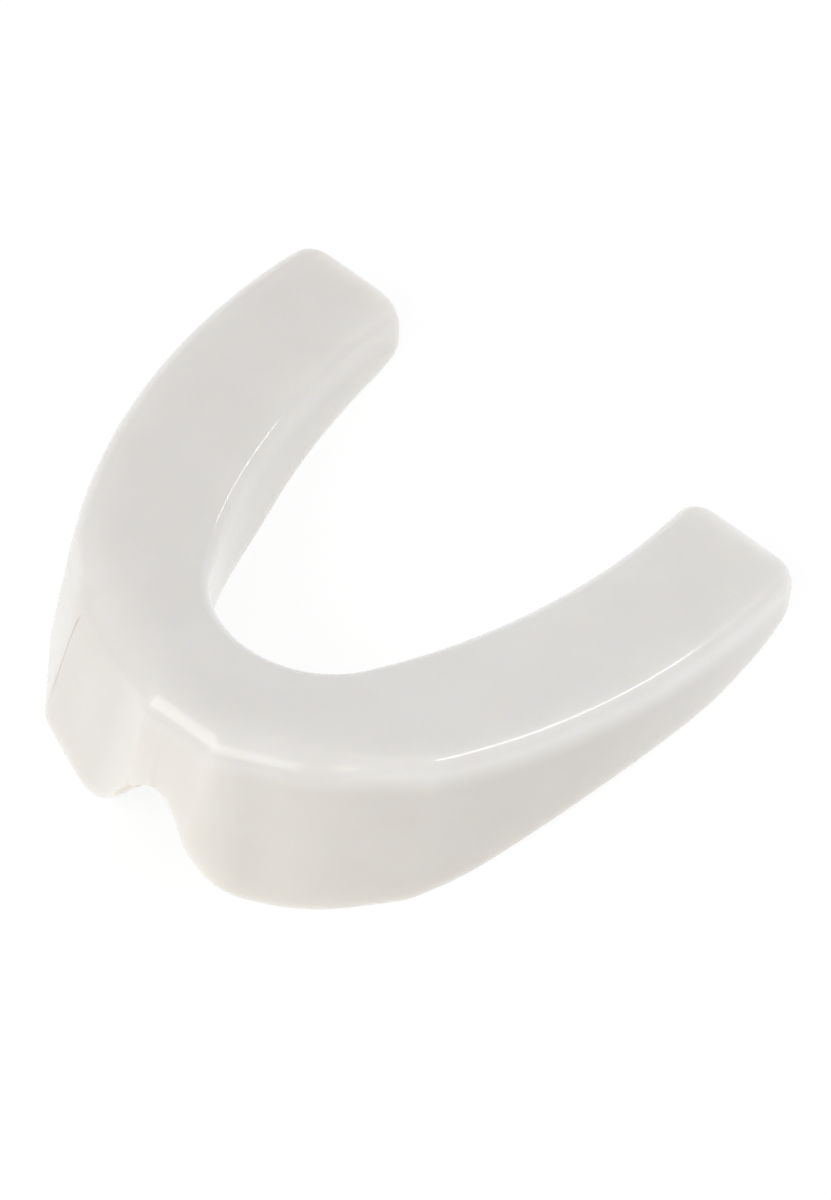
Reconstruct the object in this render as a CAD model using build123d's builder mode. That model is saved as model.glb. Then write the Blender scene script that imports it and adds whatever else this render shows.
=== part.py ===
from build123d import *
import os
from math import cos, radians, sin

# Boil-and-bite mouthguard: one soft moulding, lying as it rests on a table, with its
# bite plate up and its flanges down. Millimetres, +Z up, the incisor side faces -Y.
# The origin is under the middle of the guard, on the surface it rests on.
# The arch is laid out on the bite plane, x across and y from the front to the arm ends.

# Resting pose
rest_tilt = 14.5  # the front flange is the deepest, so the bite plane falls to the back
front_height = 19.2  # bite plane above the table, at its front edge
front_y = -22.84  # front edge of the bite plane, which centres the guard on the origin

# Outer arch, right half
facet_half = 4.3  # flat facet over the front teeth
canine = (16.4, 6.1)  # corner where the front turns into the cheek side
cheek = (25.5, 21.0)
cheek_radius = 39.6  # between canine and cheek, then one tangent arc to the arm end
arm_end = (29.0, 53.0)
facet_round = 1.2
canine_round = 5.0
arm_corner = 3.0

# Tongue side, right half
tongue_front = (0, 11.8)
tongue = (8.7, 17.0)
tongue_end = (16.8, 53.0)

# Walls
plate = 3.2  # thickness of the bite plate
outer_wall = 2.6  # flange against lips and cheeks
inner_wall = 2.3  # flange against the tongue
flare = 3.5  # degrees, the outer flange leans out towards its lip
channel_draft = 3.0  # degrees, the tooth channel opens towards the lips

# Lips of the flanges
notch = [(1.4, 10.0), (5.4, 17.4), (11.5, 20.0)]  # right half, x and depth below the bite
notch_rounds = (2.2, 5.0)  # top of the notch, and its run-out into the lobes
tongue_lift = 9.5  # degrees, the inner flange's lip rises from the table to the front
tongue_seat = 5.0  # y where the inner flange comes down to the table
relief = (-5.0, 16.0)  # y of the shallow arch under the flanges
relief_height = 0.8

# Rounding
bite_round = 3.0
tongue_round = 1.6

reach = 40.0  # longer than any cut or block needs
bite = Plane(
    origin=(0, front_y, front_height),
    x_dir=(1, 0, 0),
    z_dir=(0, sin(radians(rest_tilt)), cos(radians(rest_tilt))),
)
bite_normal = Axis(bite.origin, bite.z_dir)
front = Plane(origin=bite.origin, x_dir=(1, 0, 0), z_dir=-bite.y_dir)
arm_cut = front.offset(-arm_end[1])
tongue_lip = Plane(
    origin=(0, tongue_seat, 0),
    x_dir=(1, 0, 0),
    z_dir=(0, sin(radians(tongue_lift)), cos(radians(tongue_lift))),
)

# The outer arch as a face, running on past the arm ends
with BuildSketch() as outer_arch:
    with BuildLine():
        Line((0, 0), (facet_half, 0))
        Line((facet_half, 0), canine)
        front_cheek = RadiusArc(canine, cheek, -cheek_radius)
        rear_cheek = TangentArc(cheek, arm_end, tangent=front_cheek % 1)
        overrun = PolarLine(arm_end, arm_corner, direction=rear_cheek % 1)
        Line(overrun @ 1, (0, (overrun @ 1).Y))
        mirror(about=Plane.YZ)
    make_face()
    facet_ends = outer_arch.vertices().filter_by(lambda v: abs(v.X) == facet_half)
    fillet(facet_ends, facet_round)
    canines = outer_arch.vertices().filter_by(lambda v: abs(v.X) == canine[0])
    fillet(canines, canine_round)

# The space for the tongue, open behind the arms
with BuildSketch() as tongue_space:
    with BuildLine():
        tongue_front_arc = TangentArc(tongue_front, tongue, tangent=(1, 0))
        tongue_side_arc = TangentArc(tongue, tongue_end, tangent=tongue_front_arc % 1)
        tongue_run = PolarLine(tongue_end, reach, direction=tongue_side_arc % 1)
        Line(tongue_run @ 1, (0, (tongue_run @ 1).Y))
        mirror(about=Plane.YZ)
    make_face()

# The tooth channel lies between the two flanges
with BuildSketch() as inner_shell:
    add(tongue_space.sketch)
    offset(amount=inner_wall)
with BuildSketch() as tooth_channel:
    add(outer_arch.sketch)
    offset(amount=-outer_wall)
    add(inner_shell.sketch, mode=Mode.SUBTRACT)

# Frenulum notch, seen from the front
with BuildSketch() as notch_profile:
    with BuildLine():
        rim = [(x, -depth) for x, depth in notch]
        Polyline((0, rim[0][1]), *rim, (rim[-1][0], -reach), (0, -reach))
        mirror(about=Plane.YZ)
    make_face()
    for corner, radius in zip(notch, notch_rounds):
        fillet(notch_profile.vertices().filter_by(lambda v: abs(v.X) == corner[0]), radius)

# What is cleared below the inner flange, which rises from the table to the front
with BuildPart() as lip_cutter:
    with BuildSketch(bite):
        add(inner_shell.sketch)
        offset(amount=1)
    extrude(amount=-reach)
    split(bisect_by=tongue_lip, keep=Keep.BOTTOM)

with BuildPart() as mouthguard:
    # Solid horseshoe from the bite plane down past the table
    with BuildSketch(bite):
        add(outer_arch.sketch)
    extrude(amount=-reach, taper=-flare)
    with BuildSketch(bite):
        add(tongue_space.sketch)
    extrude(amount=reach, both=True, mode=Mode.SUBTRACT)
    split(bisect_by=arm_cut, keep=Keep.TOP)

    # Arm ends rounded in plan, then the outer rim of the bite plate
    arm_ends = mouthguard.faces().filter_by(arm_cut)
    uprights = arm_ends.edges().filter_by(lambda e: e.length > reach / 2)
    fillet(uprights.sort_by(lambda e: abs(e.center().X))[-2:], arm_corner)
    tongue_walls = mouthguard.faces().filter_by(GeomType.CYLINDER)
    bite_face = mouthguard.faces().filter_by(bite).sort_by(bite_normal)[-1]
    fillet(bite_face.edges() - tongue_walls.edges(), bite_round)

    # The tongue side has a smaller round, which carries on down the arm ends
    tongue_walls = mouthguard.faces().filter_by(
        lambda f: f.geom_type == GeomType.CYLINDER and f.radius > 2 * bite_round
    )
    bite_face = mouthguard.faces().filter_by(bite).sort_by(bite_normal)[-1]
    arm_ends = mouthguard.faces().filter_by(arm_cut)
    uprights = arm_ends.edges().filter_by(lambda e: e.length > reach / 2)
    tongue_rims = tongue_walls.edges() & bite_face.edges()
    fillet(tongue_rims + uprights.sort_by(lambda e: abs(e.center().X))[:2], tongue_round)

    # Cut off at the table, and hollowed for the teeth
    split(bisect_by=Plane.XY, keep=Keep.TOP)
    with BuildSketch(bite.offset(-plate)):
        add(tooth_channel.sketch)
    extrude(amount=-reach, taper=-channel_draft, mode=Mode.SUBTRACT)

    # Frenulum notch through the outer flange only
    with BuildSketch(front.offset(reach / 2)):
        add(notch_profile.sketch)
    notch_depth = tongue_front[1] - inner_wall - 1
    extrude(amount=-reach / 2 - notch_depth, mode=Mode.SUBTRACT)

    # The inner flange rises towards the front, and both flanges are relieved
    add(lip_cutter.part, mode=Mode.SUBTRACT)
    with BuildSketch(Plane.YZ):
        with BuildLine():
            relief_crown = (sum(relief) / 2, relief_height)
            ThreePointArc((relief[0], 0), relief_crown, (relief[1], 0))
            Line((relief[1], 0), (relief[0], 0))
        make_face()
    extrude(amount=reach, both=True, mode=Mode.SUBTRACT)

mouthguard.part.label = "mouthguard"
os.makedirs("parts", exist_ok=True)
export_step(mouthguard.part, "parts/mouthguard.step")
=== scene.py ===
from math import asin, atan2, cos, exp, hypot, pi, radians, sin, tan

import bmesh
import bpy
from mathutils import Matrix, Vector


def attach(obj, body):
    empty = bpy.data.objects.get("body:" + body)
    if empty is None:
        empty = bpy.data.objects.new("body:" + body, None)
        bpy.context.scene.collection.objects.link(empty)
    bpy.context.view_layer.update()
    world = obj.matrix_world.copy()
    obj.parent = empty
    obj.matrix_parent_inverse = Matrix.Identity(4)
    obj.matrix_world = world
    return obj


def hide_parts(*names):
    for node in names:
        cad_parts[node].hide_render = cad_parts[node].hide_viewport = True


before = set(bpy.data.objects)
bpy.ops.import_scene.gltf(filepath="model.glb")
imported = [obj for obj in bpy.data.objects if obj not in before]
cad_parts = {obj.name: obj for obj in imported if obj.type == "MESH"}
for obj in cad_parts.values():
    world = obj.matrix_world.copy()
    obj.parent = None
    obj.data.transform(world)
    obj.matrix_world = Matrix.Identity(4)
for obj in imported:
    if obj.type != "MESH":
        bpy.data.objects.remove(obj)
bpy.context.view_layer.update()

for thing in bpy.context.selected_objects:
    thing.select_set(False)

MM = 0.001

# --- The moulding, in millimetres on the bite plate: x across, y back from the front edge, depth down ---

# How it rests: the bite plate falls towards the arm ends.
REST_TILT = radians(14.5)
FRONT_HEIGHT = 19.2
FRONT_Y = -22.84
PLATE_UP = Vector((0, sin(REST_TILT), cos(REST_TILT)))
PLATE_BACK = Vector((0, cos(REST_TILT), -sin(REST_TILT)))

# Outer outline of each side, at the bite plate and at the lips: the flat facet over the front
# teeth, the corners beside the incisors and at the canines, the cheek and the arm's end.
LEFT, RIGHT = -1, 1
FACET = {LEFT: 2.4, RIGHT: 5.6}
FACET_NARROWING = {LEFT: 0.3, RIGHT: 1.3}
INCISOR = {LEFT: (14.0, 5.3), RIGHT: (13.6, 4.3)}
INCISOR_LOW = {LEFT: (15.7, 5.7), RIGHT: (15.0, 5.2)}
CANINE = {LEFT: (20.1, 11.3), RIGHT: (21.1, 11.7)}
CANINE_LOW = {LEFT: (20.2, 11.2), RIGHT: (20.5, 10.7)}
CHEEK = {LEFT: (24.9, 21.0), RIGHT: (25.5, 21.0)}
CHEEK_LOW = {LEFT: (25.4, 21.0), RIGHT: (25.15, 21.0)}
CHEEK_RADIUS = 60.0
ARM_END = {LEFT: (28.9, 53.5), RIGHT: (29.3, 53.0)}
FACET_ROUND = 1.2
INCISOR_ROUND = {LEFT: 2.0, RIGHT: 20.0}
CANINE_ROUND = 2.6

# Outline of the tongue side: its front, the turn into the arm and the arm's end.
TONGUE_FRONT = (0.0, 11.8)
TONGUE = (8.7, 17.0)
TONGUE_END = {LEFT: (16.1, 52.7), RIGHT: (16.4, 52.8)}

# Thicknesses of the bite plate and the flanges, and how far the flanges lean out for their depth.
# THIN_END is the least a flange may keep where the arm's corner is rounded off. DEEP is the depth
# at which the low outline holds.
PLATE = 3.2
OUTER_WALL = 2.6
INNER_WALL = 2.3
THIN_END = 0.7
DEEP = 18.0
FLARE_FRONT = {LEFT: 0.065, RIGHT: 0.055}
FLARE_ARM = 0.045
TONGUE_FLARE = 0.05
OUTER_FLARE_CHANGE = (0.3, 0.8)
TONGUE_FLARE_CHANGE = (0.3, 0.6)

# Rounding of the bite edge, which changes with the distance from the middle of the front, and of
# the other edges.
FACET_BITE_ROUND = 3.0
FACE_BITE_ROUND = {LEFT: 4.2, RIGHT: 3.0}
FACE_STARTS = (3.0, 8.0)
ARM_STARTS = (15.0, 19.0)
ARM_BITE_ROUND = {LEFT: 2.4, RIGHT: 1.6}
TONGUE_ROUND = 2.2
LIP_ROUND = 0.9
LIP_SHARE = 0.42
ROOF_ROUND = 1.2
ROOF_SHARE = 0.6
ARM_CORNER = 1.2
TONGUE_CORNER = 0.8

# The lips: the notch, the tongue side's rise to the front, the relief under the cheeks and the
# rise at the arm ends. Spans along the arch are shares of its length.
NOTCH_MIDDLE = 0.2
NOTCH_HEIGHT = 9.8
NOTCH_HALF = 4.8
NOTCH_POWER = 2.1
TONGUE_LIFT = 3.0
TONGUE_LIFT_SPAN = (0.15, 0.6)
RELIEF_START = 0.45
RELIEF_LENGTH = 0.4
OUTER_RELIEF = 1.3
TONGUE_RELIEF = 0.2
END_LIFT = 1.2
END_LIFT_LENGTH = 4.5

# Rings from the middle to each corner in turn and to the arm's end, and round its corner.
LEG_RINGS = (11, 13, 9, 28)
ARM_LEG = 3
CORNER_STEP = 0.3
END_TURNS = (0, 30, 55, 75, 90)

# Points of one ring: turns round its edges, in degrees, and steps across its walls and plate.
LIP_TURNS = (0, 45, 90)
BITE_TURNS = (0, 22.5, 45, 67.5, 90)
TONGUE_TURNS = (0, 30, 60, 90)
ROOF_TURNS = (0, 45, 90)
WALL_STEPS = (0.35, 0.7)
PLATE_STEPS = (1 / 3, 2 / 3)
ROOF_STEPS = (1 / 6, 2 / 6, 3 / 6, 4 / 6, 5 / 6)

# Points on an arc of an outline and on the arm's long arc, the least gap kept after a rounded
# corner, and the spans that normals are averaged over.
ARC_POINTS = 24
ARM_ARC_POINTS = 40
CORNER_GAP = 0.1
WALL_SPAN = 0.3
RIM_SPAN = 3.0


def arc(start, heading, end, count):
    """Points on the arc that leaves start along heading and reaches end, and its last heading."""
    dx, dy = end[0] - start[0], end[1] - start[1]
    turn = 2 * (atan2(dy, dx) - heading)
    radius = hypot(dx, dy) / (2 * sin(turn / 2))
    cx, cy = start[0] - radius * sin(heading), start[1] + radius * cos(heading)
    points = []
    for i in range(1, count + 1):
        a = heading + turn * i / count
        points.append((cx + radius * sin(a), cy - radius * cos(a)))
    return points, heading + turn


def rounded(before, corner, after, radius):
    """A corner of an outline replaced by an arc."""
    a = (Vector(before) - Vector(corner)).normalized()
    b = (Vector(after) - Vector(corner)).normalized()
    reach = radius / tan(a.angle(b) / 2)
    start, end = Vector(corner) + a * reach, Vector(corner) + b * reach
    return [tuple(start)] + arc(start, atan2(-a.y, -a.x), end, ARC_POINTS)[0]


def measured(points):
    """The points of an outline with their distance along it."""
    line = [(0.0, Vector(points[0]))]
    for p, q in zip(points, points[1:]):
        step = hypot(q[0] - p[0], q[1] - p[1])
        if step > 1e-6:
            line.append((line[-1][0] + step, Vector(q)))
    return line


def along(line, s):
    """Point at distance s on a measured outline, which goes on straight past its ends."""
    if s < 0:
        p = along(line, -s)
        return Vector((-p.x, p.y))
    for (s0, p), (s1, q) in zip(line, line[1:]):
        if s <= s1:
            return p.lerp(q, (s - s0) / (s1 - s0))
    return q + (q - p).normalized() * (s - line[-1][0])


def normal_at(line, s, span):
    """Unit normal to the right of an outline, averaged over a span."""
    t = (along(line, s + span) - along(line, s - span)).normalized()
    return Vector((t.y, -t.x))


def blend(value, low, high):
    """Smooth step from 0 at low to 1 at high."""
    t = min(max((value - low) / (high - low), 0.0), 1.0)
    return t * t * (3 - 2 * t)


def outer_outline(side, facet, incisor, canine, cheek):
    """The outer outline of one side, and how far along it its corners and its end are."""
    chord = Vector(cheek) - Vector(canine)
    heading = atan2(chord.y, chord.x) - asin(chord.length / (2 * CHEEK_RADIUS))
    first_cheek, last_heading = arc(canine, heading, cheek, ARC_POINTS)
    points = [(0.0, 0.0)] + rounded((0, 0), (facet, 0), incisor, FACET_ROUND)
    points += rounded((facet, 0), incisor, canine, INCISOR_ROUND[side])
    points += rounded(incisor, canine, first_cheek[3], CANINE_ROUND)
    points += [p for p in first_cheek if p[0] > points[-1][0] + CORNER_GAP]
    line = measured(points + arc(cheek, last_heading, ARM_END[side], ARM_ARC_POINTS)[0])
    to_incisor = facet + hypot(incisor[0] - facet, incisor[1])
    to_canine = to_incisor + hypot(canine[0] - incisor[0], canine[1] - incisor[1])
    return line, (0.0, facet, to_incisor, to_canine, line[-1][0])


def tongue_outline(side):
    """The outline of the tongue side, from the middle to the arm's end."""
    front, heading = arc(TONGUE_FRONT, 0.0, TONGUE, ARC_POINTS)
    arm = arc(TONGUE, heading, TONGUE_END[side], ARM_ARC_POINTS)[0]
    return measured([TONGUE_FRONT] + front + arm)


class Station:
    """One place along a half arch: its points on the outlines, its normals and its end corner."""

    def __init__(self, arch, leg, offset, share, end_turn=0.0):
        side, (top, top_marks), (low, low_marks), tongue = arch
        self.side = side
        s_top = self.distance(top_marks, leg, offset, share, end_turn)
        s_low = self.distance(low_marks, leg, offset, share, end_turn)
        self.share = min(s_top / (top_marks[-1] - ARM_CORNER), 1.0)
        s_tongue = self.share * (tongue[-1][0] - TONGUE_CORNER) + TONGUE_CORNER * sin(end_turn)
        turned = 1 - cos(end_turn)
        self.top, self.low = along(top, s_top), along(low, s_low)
        self.wall_top = normal_at(top, s_top, WALL_SPAN)
        self.wall_low = normal_at(low, s_low, WALL_SPAN)
        self.rim = normal_at(top, s_top, RIM_SPAN)
        self.tongue_point = along(tongue, s_tongue)
        self.tongue_normal = -normal_at(tongue, s_tongue, WALL_SPAN)
        self.outer_in = ARM_CORNER * turned
        self.tongue_in = TONGUE_CORNER * turned
        self.outer_wall = max(OUTER_WALL - self.outer_in, THIN_END)
        self.inner_wall = max(INNER_WALL - self.tongue_in, THIN_END)
        self.to_end = top_marks[-1] - s_top

    @staticmethod
    def distance(marks, leg, offset, share, end_turn):
        """How far along an outline the place is. The last leg stops short of the arm's rounded end."""
        leg_end = marks[leg + 1]
        if leg == ARM_LEG:
            leg_end -= ARM_CORNER
        return marks[leg] + offset + (leg_end - marks[leg]) * share + ARM_CORNER * sin(end_turn)

    def out(self, inset, depth):
        """Point under the outer outline, inset from the outer wall."""
        front = FLARE_FRONT[self.side]
        lean = front + (FLARE_ARM - front) * blend(self.share, *OUTER_FLARE_CHANGE)
        base = self.top.lerp(self.low, depth / DEEP)
        wall = self.wall_top.lerp(self.wall_low, depth / DEEP).normalized()
        return base + wall * lean * depth - self.rim * (inset + self.outer_in), depth

    def tongue(self, inset, depth):
        """Point under the tongue-side outline, inset from the tongue-side wall."""
        lean = TONGUE_FLARE * blend(self.share, *TONGUE_FLARE_CHANGE) * depth
        return self.tongue_point + self.tongue_normal * (lean - inset - self.tongue_in), depth


def resting_depth(point, lean=0.0):
    """Depth below the bite plane at which a wall meets the table."""
    return (FRONT_HEIGHT - point.y * sin(REST_TILT)) / (cos(REST_TILT) + lean * sin(REST_TILT))


def rounding(radius, turn):
    """Inset and depth of a point on a rounded edge, from 0 at the wall to 90 degrees at the face."""
    return radius * (1 - cos(radians(turn))), radius * (1 - sin(radians(turn)))


def lip_depths(station):
    """Depths of the outer and the tongue-side lip at a station."""
    side, share = station.side, station.share
    relief = sin(pi * min(max((share - RELIEF_START) / RELIEF_LENGTH, 0.0), 1.0))
    from_notch = abs((station.low.x * side - NOTCH_MIDDLE) / NOTCH_HALF)
    notch = NOTCH_HEIGHT * exp(-(from_notch ** NOTCH_POWER))
    end_lift = END_LIFT * max(1 - station.to_end / END_LIFT_LENGTH, 0.0) ** 2
    deep_out = resting_depth(station.low, station.rim.y * FLARE_FRONT[side])
    deep_out -= notch + OUTER_RELIEF * relief + end_lift
    deep_in = resting_depth(station.tongue_point)
    front_lift = TONGUE_LIFT * (1 - blend(share, *TONGUE_LIFT_SPAN))
    deep_in -= front_lift + TONGUE_RELIEF * relief + end_lift
    return deep_out, deep_in


def bite_round(station):
    """Radius of the bite edge at a station."""
    side, from_middle = station.side, station.top.length
    face, arm = FACE_BITE_ROUND[side], ARM_BITE_ROUND[side]
    radius = FACET_BITE_ROUND + (face - FACET_BITE_ROUND) * blend(from_middle, *FACE_STARTS)
    return radius + (arm - face) * blend(from_middle, *ARM_STARTS)


def section(station):
    """The closed cross-section of the moulding at a station, from the outer lip over the plate to
    the tongue-side lip and back under the plate."""
    deep_out, deep_in = lip_depths(station)
    ro, ri = bite_round(station), TONGUE_ROUND
    wall_out, wall_in = station.outer_wall, station.inner_wall
    lip_out, lip_in = min(LIP_ROUND, LIP_SHARE * wall_out), min(LIP_ROUND, LIP_SHARE * wall_in)
    wall_height = min(deep_out - lip_out, deep_in - lip_in) - PLATE
    rc = min(ROOF_ROUND, ROOF_SHARE * wall_height)
    roof = PLATE + rc
    skin, inside = [], []
    for turn in LIP_TURNS[::-1]:
        inset, rise = rounding(lip_out, turn)
        skin.append(station.out(inset, deep_out - rise))
        inside.append(station.out(wall_out - inset, deep_out - rise))
    for t in WALL_STEPS:
        skin.append(station.out(0.0, (deep_out - lip_out) * (1 - t) + ro * t))
        inside.append(station.out(wall_out, (deep_out - lip_out) * (1 - t) + roof * t))
    for turn in BITE_TURNS:
        skin.append(station.out(*rounding(ro, turn)))
    for turn in ROOF_TURNS:
        inset, rise = rounding(rc, turn)
        inside.append(station.out(wall_out + inset, PLATE + rise))
    rim_out, rim_in = skin[-1][0], station.tongue(ri, 0)[0]
    roof_out, roof_in = inside[-1][0], station.tongue(wall_in + rc, PLATE)[0]
    for t in PLATE_STEPS:
        skin.append((rim_out.lerp(rim_in, t), 0.0))
    for t in ROOF_STEPS:
        inside.append((roof_out.lerp(roof_in, t), PLATE))
    for turn in TONGUE_TURNS[::-1]:
        skin.append(station.tongue(*rounding(ri, turn)))
    for turn in ROOF_TURNS[::-1]:
        inset, rise = rounding(rc, turn)
        inside.append(station.tongue(wall_in + inset, PLATE + rise))
    for t in WALL_STEPS:
        skin.append(station.tongue(0.0, ri * (1 - t) + (deep_in - lip_in) * t))
        inside.append(station.tongue(wall_in, roof * (1 - t) + (deep_in - lip_in) * t))
    for turn in LIP_TURNS:
        inset, rise = rounding(lip_in, turn)
        skin.append(station.tongue(inset, deep_in - rise))
        inside.append(station.tongue(wall_in - inset, deep_in - rise))
    return [placed(p.x * station.side, p.y, depth) for p, depth in skin + inside[::-1]]


def placed(x, y, depth):
    """From millimetres on the bite plate to the frame, in metres. The lips lie flat on the table."""
    p = Vector((x, FRONT_Y, FRONT_HEIGHT)) + PLATE_BACK * y - PLATE_UP * depth
    p.z = max(p.z, 0.0)
    return p * MM


def half_arch(side):
    """The cross-sections from the middle of the front to the end of one arm."""
    top = outer_outline(side, FACET[side], INCISOR[side], CANINE[side], CHEEK[side])
    low_facet = FACET[side] - FACET_NARROWING[side]
    low = outer_outline(side, low_facet, INCISOR_LOW[side], CANINE_LOW[side], CHEEK_LOW[side])
    arch = (side, top, low, tongue_outline(side))
    stations = []
    for leg, count in enumerate(LEG_RINGS):
        if leg:
            stations.append(Station(arch, leg, CORNER_STEP, 0.0))
        for i in range(1 if leg else 0, count):
            stations.append(Station(arch, leg, 0.0, i / count))
        if leg < ARM_LEG:
            stations.append(Station(arch, leg, -CORNER_STEP, 1.0))
    for turn in END_TURNS:
        stations.append(Station(arch, ARM_LEG, 0.0, 1.0, radians(turn)))
    return [section(station) for station in stations]


def moulded_guard():
    """The whole moulding: one ring extruded from arm end to arm end, closed and smoothed."""
    left, right = half_arch(LEFT), half_arch(RIGHT)
    rings = left[:0:-1] + right
    count = len(rings[0])
    bpy.ops.mesh.primitive_circle_add(vertices=count, radius=0.01, fill_type="NOTHING")
    guard = bpy.context.object
    guard.name = "mouthguard_moulding"
    bpy.ops.object.mode_set(mode="EDIT")
    for number, ring in enumerate(rings):
        if number:
            bpy.ops.mesh.extrude_region_move()
        mesh = bmesh.from_edit_mesh(guard.data)
        mesh.verts.ensure_lookup_table()
        for vertex, place in zip(mesh.verts[-count:], ring):
            vertex.co = place
    mesh.verts.ensure_lookup_table()
    for end in (mesh.verts[:count], mesh.verts[-count:]):
        for i in range(count // 2 - 1):
            mesh.faces.new((end[i], end[i + 1], end[count - 2 - i], end[count - 1 - i]))
    bmesh.update_edit_mesh(guard.data)
    bpy.ops.mesh.select_all(action="SELECT")
    bpy.ops.mesh.normals_make_consistent(inside=False)
    bpy.ops.object.mode_set(mode="OBJECT")
    smooth = guard.modifiers.new("smooth", "SUBSURF")
    smooth.levels = 2
    smooth.render_levels = 2
    bpy.ops.object.modifier_apply(modifier="smooth")
    bpy.ops.object.shade_smooth()
    return guard


guard = moulded_guard()
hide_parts("mouthguard")
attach(guard, "root")

# --- Material ---

# Base colours of the plate from left to right, and of the walls from front to back. Both carry painted
# light and shade: the plate is lighter to the right, the walls lighter at the front facet and towards the
# arm ends and darker under the cheeks.
PLATE_TONES_PAINTED_LIGHT = ((0.0, (0.755, 0.745, 0.735)), (1.0, (0.775, 0.772, 0.767)))
WALL_TONES_PAINTED_LIGHT = (
    (0.0, (0.765, 0.750, 0.715)),
    (0.018, (0.755, 0.740, 0.706)),
    (0.045, (0.695, 0.680, 0.646)),
    (0.07, (0.708, 0.692, 0.657)),
    (0.2, (0.680, 0.662, 0.628)),
    (0.4, (0.655, 0.636, 0.600)),
    (0.65, (0.660, 0.645, 0.620)),
    (1.0, (0.720, 0.708, 0.692)),
)
PLATE_SPAN = (-25.0 * MM, 25.0 * MM)
WALL_TONE_SPAN = (-1.0 * MM, 54.0 * MM)
WALL_DEPTHS = (-1.0 * MM, -4.0 * MM)

# What darkens or warms them: clouds in the plastic and specks, and painted shade on the downward rounding
# at the left of the notch, along the crease beside the left incisors and along the arm ends.
CLOUD_TINT = (0.982, 0.980, 0.976, 1)
CLOUD_SCALE = 150.0
SPECK_TINT = (0.88, 0.86, 0.82, 1)
SPECK_SCALE = 330.0
SPECK_RADII = (0.05, 0.09)
SPECK_RARITY = 0.93
# Painted shade, brownish, on the notch's downward rounding.
NOTCH_SHADE_TINT = (0.80, 0.70, 0.56, 1)
NOTCH_SKIN = (0.12 * MM, 0.35 * MM)
NOTCH_REACH = (3.0 * MM, 5.0 * MM)
# Painted shade line along the crease.
CREASE_SHADE_TINT = (0.74, 0.66, 0.56, 1)
CREASE_WIDTH = (0.04 * MM, 0.16 * MM)
CREASE_REACH = (4.5 * MM, 6.5 * MM)
# Painted shade along the arm ends.
END_SHADE_TINT = (0.93, 0.92, 0.90, 1)
END_SHADE_BAND = (52.6 * MM, 53.2 * MM)

# The skin: how matt it is, and the relief in it. Scales are per metre.
MATT_SCALE = 70.0
MATT_RANGE = (0.33, 0.43)
PEEL_SCALE = 900.0
SWELL_SCALE = 130.0
SWELL_HEIGHT = 3.0
SCRATCH_SCALE = (160.0, 2200.0, 400.0)
SCRATCH_TURN = radians(35)
SCRATCH_EDGE = (0.72, 0.78)
SCRATCH_DEPTH = -0.8
SPECK_HEIGHT = 2.0
RELIEF_UNIT = 0.000012


def face_plane(point, across, back):
    """The flared outer face of the flange through a point, with its normal into the guard. Across
    and back are the way the normal points on the bite plate."""
    normal = placed(across, back, FLARE_FRONT[LEFT]) - placed(0, 0, 0)
    return point, normal.normalized()


# The faces of the flange at the notch, and the crease, which place the painted shade there.
MIDDLE_FACE = face_plane(placed(0, 0, 0), 0, 1.0)
LEFT_FACE = face_plane(placed(-FACET[LEFT], 0, 0), 0.416, 0.91)
NOTCH_PLACE = placed(-2.4, 1.5, 11.0)
CREASE_TOP = placed(-INCISOR[LEFT][0], INCISOR[LEFT][1], 3.0)
CREASE_FOOT = placed(-INCISOR_LOW[LEFT][0] - 0.55, INCISOR_LOW[LEFT][1] - 0.9, 16.0)
CREASE_MIDDLE = CREASE_TOP.lerp(CREASE_FOOT, 0.45)
ACROSS_CREASE = Vector((0.81, -0.56, 0.15))
ACROSS_CREASE -= ACROSS_CREASE.project(CREASE_FOOT - CREASE_TOP)
CREASE_PLANE = (CREASE_TOP, ACROSS_CREASE.normalized())


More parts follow.
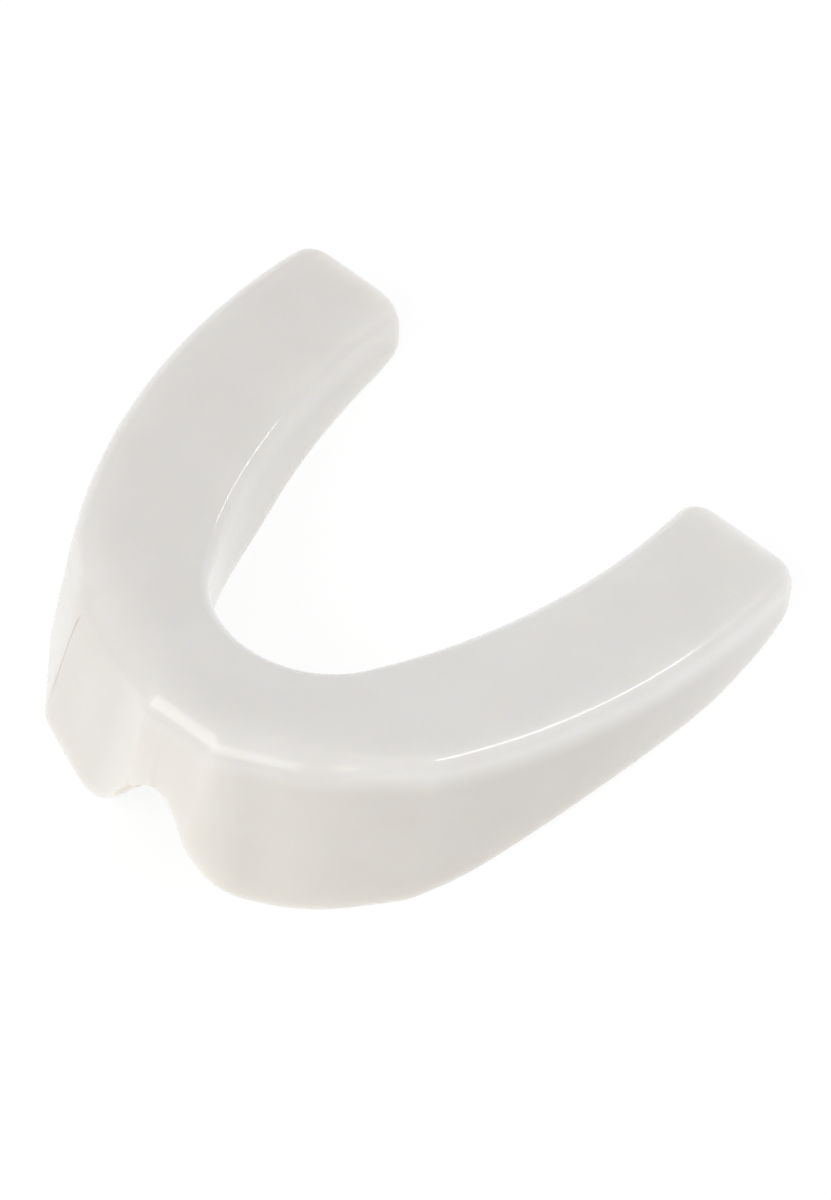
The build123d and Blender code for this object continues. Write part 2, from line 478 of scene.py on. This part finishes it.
class Bench:
    """Adds nodes to a material and joins them up."""

    def __init__(self, material):
        material.use_nodes = True
        self.nodes, self.links = material.node_tree.nodes, material.node_tree.links
        self.shader = self.nodes["Principled BSDF"]

    def node(self, kind, inputs, **settings):
        """A node with its settings. An input is a value, or the output that feeds it."""
        made = self.nodes.new(kind)
        for name, value in settings.items():
            setattr(made, name, value)
        for name, value in inputs.items():
            if isinstance(value, bpy.types.NodeSocket):
                self.links.new(value, made.inputs[name])
            else:
                made.inputs[name].default_value = value
        return made

    def feed(self, output, name):
        """Joins an output to an input of the shader."""
        self.links.new(output, self.shader.inputs[name])

    def ranged(self, value, span, to_low, to_high, smooth=False):
        """A value's span turned into another range."""
        inputs = {"Value": value, "From Min": span[0], "From Max": span[1]}
        inputs.update({"To Min": to_low, "To Max": to_high})
        kind = "SMOOTHSTEP" if smooth else "LINEAR"
        return self.node("ShaderNodeMapRange", inputs, interpolation_type=kind).outputs["Result"]

    def noise(self, place, scale, detail):
        """Noise from 0 to 1 over the place."""
        inputs = {"Vector": place, "Scale": scale, "Detail": detail}
        return self.node("ShaderNodeTexNoise", inputs).outputs["Fac"]

    def math(self, operation, a, b):
        """An operation on two values."""
        return self.node("ShaderNodeMath", {0: a, 1: b}, operation=operation).outputs["Value"]

    def vector_math(self, operation, a, b, output):
        """An operation on two vectors. The output is a vector or a value."""
        inputs = {0: a, 1: b}
        return self.node("ShaderNodeVectorMath", inputs, operation=operation).outputs[output]

    def plane_side(self, place, plane):
        """Distance in front of a plane, which is given as a point on it and its normal."""
        point, normal = plane
        from_point = self.vector_math("SUBTRACT", place, point, "Vector")
        return self.vector_math("DOT_PRODUCT", from_point, normal, "Value")

    def near(self, place, point, reach):
        """1 near a point, falling to 0 over the reach."""
        distance = self.vector_math("DISTANCE", place, point, "Value")
        return self.ranged(distance, reach, 1.0, 0.0, True)

    def mixed(self, factor, colour, other, blend_type="MIX"):
        """A colour mixed with another, as far as the factor says."""
        inputs = {0: factor, 6: colour, 7: other}
        settings = {"data_type": "RGBA", "blend_type": blend_type}
        return self.node("ShaderNodeMix", inputs, **settings).outputs[2]

    def tinted(self, factor, colour, tint):
        """A colour multiplied by a tint, as far as the factor says."""
        return self.mixed(factor, colour, tint, "MULTIPLY")

    def ramp(self, value, steps):
        """A colour ramp through the steps, which are places with their colours."""
        made = self.node("ShaderNodeValToRGB", {"Fac": value})
        elements = made.color_ramp.elements
        elements[0].position, elements[1].position = steps[0][0], steps[-1][0]
        elements[0].color, elements[1].color = (*steps[0][1], 1), (*steps[-1][1], 1)
        for place, colour in steps[1:-1]:
            elements.new(place).color = (*colour, 1)
        return made.outputs["Color"]


def tone_and_painted_light(bench, place):
    """The plate's tone over the plate, and the walls' below it, with painted light and shade in both, and
    painted shade along the arm ends.
    """
    plate_front = (placed(0, 0, 0), PLATE_UP)
    walls = bench.ranged(bench.plane_side(place, plate_front), WALL_DEPTHS, 0.0, 1.0, True)
    across = bench.node("ShaderNodeSeparateXYZ", {"Vector": place}).outputs["X"]
    plate_tone_painted_light = bench.ramp(bench.ranged(across, PLATE_SPAN, 0.0, 1.0), PLATE_TONES_PAINTED_LIGHT)
    back = bench.plane_side(place, (placed(0, 0, 0), PLATE_BACK))
    wall_tone_painted_light = bench.ramp(bench.ranged(back, WALL_TONE_SPAN, 0.0, 1.0), WALL_TONES_PAINTED_LIGHT)
    tone = bench.mixed(walls, plate_tone_painted_light, wall_tone_painted_light)
    # Painted shade along the arm ends.
    return bench.tinted(bench.ranged(back, END_SHADE_BAND, 0.0, 1.0), tone, END_SHADE_TINT)


def notch_shade_mask(bench, place):
    """Painted shade on the downward-facing rounding of the flange at the left of the notch."""
    middle, left = bench.plane_side(place, MIDDLE_FACE), bench.plane_side(place, LEFT_FACE)
    behind = bench.ranged(bench.math("MINIMUM", middle, left), NOTCH_SKIN, 0.0, 1.0)
    return bench.math("MULTIPLY", behind, bench.near(place, NOTCH_PLACE, NOTCH_REACH))


def crease_shade_mask(bench, place):
    """A thin line of painted shade along the crease beside the left incisors."""
    off_line = bench.math("ABSOLUTE", bench.plane_side(place, CREASE_PLANE), 0.0)
    line = bench.ranged(off_line, CREASE_WIDTH, 1.0, 0.0, True)
    return bench.math("MULTIPLY", line, bench.near(place, CREASE_MIDDLE, CREASE_REACH))


def speck_mask(bench, place):
    """A few small round specks."""
    specks = bench.node("ShaderNodeTexVoronoi", {"Vector": place, "Scale": SPECK_SCALE}).outputs
    dots = bench.ranged(specks["Distance"], SPECK_RADII, 1.0, 0.0, True)
    lot = bench.node("ShaderNodeSeparateXYZ", {"Vector": specks["Color"]}).outputs["X"]
    return bench.math("MULTIPLY", dots, bench.math("GREATER_THAN", lot, SPECK_RARITY))


def skin_relief(bench, place, speck):
    """Fine grain, slow swells, scratches and the specks, as one height."""
    peel = bench.noise(place, PEEL_SCALE, 2.0)
    swell = bench.math("MULTIPLY", bench.noise(place, SWELL_SCALE, 1.0), SWELL_HEIGHT)
    turn = (0.0, 0.0, SCRATCH_TURN)
    inputs = {"Vector": place, "Rotation": turn, "Scale": SCRATCH_SCALE}
    streaked = bench.node("ShaderNodeMapping", inputs).outputs["Vector"]
    streaks = bench.noise(streaked, 1.0, 1.0)
    scratch = bench.ranged(streaks, SCRATCH_EDGE, 0.0, SCRATCH_DEPTH, True)
    marks = bench.math("ADD", scratch, bench.math("MULTIPLY", speck, SPECK_HEIGHT))
    return bench.math("ADD", bench.math("ADD", peel, swell), marks)


def milky_eva():
    """Milky soft plastic with a polished moulded skin."""
    material = bpy.data.materials.new("milky_eva")
    bench = Bench(material)
    place = bench.node("ShaderNodeTexCoord", {}).outputs["Object"]
    speck = speck_mask(bench, place)
    cloud = bench.ranged(bench.noise(place, CLOUD_SCALE, 4.0), (0.35, 0.65), 0.0, 1.0, True)

    # Base colour with painted light and shade over the plate and the walls.
    tone = tone_and_painted_light(bench, place)
    tone = bench.tinted(cloud, tone, CLOUD_TINT)
    # Painted shade on the downward rounding at the left of the notch.
    tone = bench.tinted(notch_shade_mask(bench, place), tone, NOTCH_SHADE_TINT)
    # Painted shade line along the crease beside the left incisors.
    tone = bench.tinted(crease_shade_mask(bench, place), tone, CREASE_SHADE_TINT)
    tone = bench.tinted(speck, tone, SPECK_TINT)
    bench.feed(tone, "Base Color")

    matt = bench.ranged(bench.noise(place, MATT_SCALE, 3.0), (0.3, 0.7), *MATT_RANGE)
    bench.feed(matt, "Roughness")

    height = skin_relief(bench, place, speck)
    inputs = {"Height": height, "Strength": 1.0, "Distance": RELIEF_UNIT}
    bench.feed(bench.node("ShaderNodeBump", inputs).outputs["Normal"], "Normal")

    inputs = bench.shader.inputs
    inputs["Coat Weight"].default_value = 1.0
    inputs["Coat Roughness"].default_value = 0.10
    inputs["Subsurface Weight"].default_value = 1.0
    inputs["Subsurface Radius"].default_value = (1.0, 0.9, 0.75)
    inputs["Subsurface Scale"].default_value = 0.003
    return material


guard.data.materials.append(milky_eva())

# --- Floor, light and camera ---

scene = bpy.context.scene
scene.view_settings.view_transform = "Standard"

FLOOR_SIZE = 4.0
FLOOR_COLOUR = (0.20, 0.20, 0.20, 1)
FLOOR_GLOW = 0.84
SURROUNDINGS = 0.60
WHITE = (1.0, 1.0, 1.0)
WARM = (1.0, 0.965, 0.92)


def studio_floor():
    """A large sheet of pale paper that gives some light of its own."""
    bpy.ops.mesh.primitive_plane_add(size=FLOOR_SIZE, location=(0, 0, 0))
    floor = bpy.context.object
    floor.name = "studio_floor"
    paper = bpy.data.materials.new("pale_paper")
    paper.use_nodes = True
    inputs = paper.node_tree.nodes["Principled BSDF"].inputs
    inputs["Base Color"].default_value = FLOOR_COLOUR
    inputs["Roughness"].default_value = 1.0
    inputs["Specular IOR Level"].default_value = 0.0
    inputs["Emission Color"].default_value = (*WHITE, 1)
    inputs["Emission Strength"].default_value = FLOOR_GLOW
    floor.data.materials.append(paper)


def soft_surroundings():
    """Even light from all round."""
    world = bpy.data.worlds.new("soft_studio")
    scene.world = world
    world.use_nodes = True
    inputs = world.node_tree.nodes["Background"].inputs
    inputs["Color"].default_value = (*WHITE, 1)
    inputs["Strength"].default_value = SURROUNDINGS


def softbox(name, direction, distance, size, share, tint=WHITE, long_way=(0, 0, 1)):
    """A soft light that gives a white sheet facing it this share of full brightness. Its second
    side lies as near as it can to the long way."""
    light = bpy.data.lights.new(name, "AREA")
    light.shape = "RECTANGLE"
    light.size, light.size_y = size
    light.color = tint
    light.energy = pi ** 2 * distance ** 2 * share
    lamp = bpy.data.objects.new(name, light)
    scene.collection.objects.link(lamp)
    away = Vector(direction).normalized()
    across = Vector(long_way).cross(away).normalized()
    lamp.matrix_world = Matrix((across, away.cross(across), away)).transposed().to_4x4()
    lamp.location = away * distance


studio_floor()
soft_surroundings()
softbox("front_left", (-0.37, -0.57, 0.74), 0.6, (0.34, 0.34), 0.20, WARM)
softbox("front", (0.10, -0.75, 0.65), 0.8, (0.60, 0.40), 0.20, WARM)
softbox("right_back", (0.41, 0.51, 0.75), 0.6, (0.07, 0.30), 0.16, long_way=(0.05, 0.80, -0.60))
softbox("window", (0.425, 0.903, 0.12), 0.8, (0.20, 0.05), 0.03)

VIEW_AZIMUTH = radians(44.42)
VIEW_ELEVATION = radians(58.44)
VIEW_ROLL = radians(-5.56)
VIEW_DISTANCE = 686.0
LENS = 232.6
SENSOR = 36.0
ARCH_MIDDLE = 26.0
AIM = (5.32, -4.10)


def view_camera():
    """The camera, aimed beside a point in the middle of the arch."""
    flat = cos(VIEW_ELEVATION)
    towards = Vector((sin(VIEW_AZIMUTH) * flat, -cos(VIEW_AZIMUTH) * flat, sin(VIEW_ELEVATION)))
    level = Vector((cos(VIEW_AZIMUTH), sin(VIEW_AZIMUTH), 0))
    upright = towards.cross(level)
    right = level * cos(VIEW_ROLL) + upright * sin(VIEW_ROLL)
    up = upright * cos(VIEW_ROLL) - level * sin(VIEW_ROLL)
    data = bpy.data.cameras.new("camera")
    data.lens = LENS
    data.sensor_width = SENSOR
    data.clip_start, data.clip_end = 0.01, 20.0
    camera = bpy.data.objects.new("camera", data)
    scene.collection.objects.link(camera)
    camera.matrix_world = Matrix((right, up, towards)).transposed().to_4x4()
    target = placed(0, ARCH_MIDDLE, 0) + (right * AIM[0] + up * AIM[1]) * MM
    camera.location = target + towards * VIEW_DISTANCE * MM
    scene.camera = camera


view_camera()
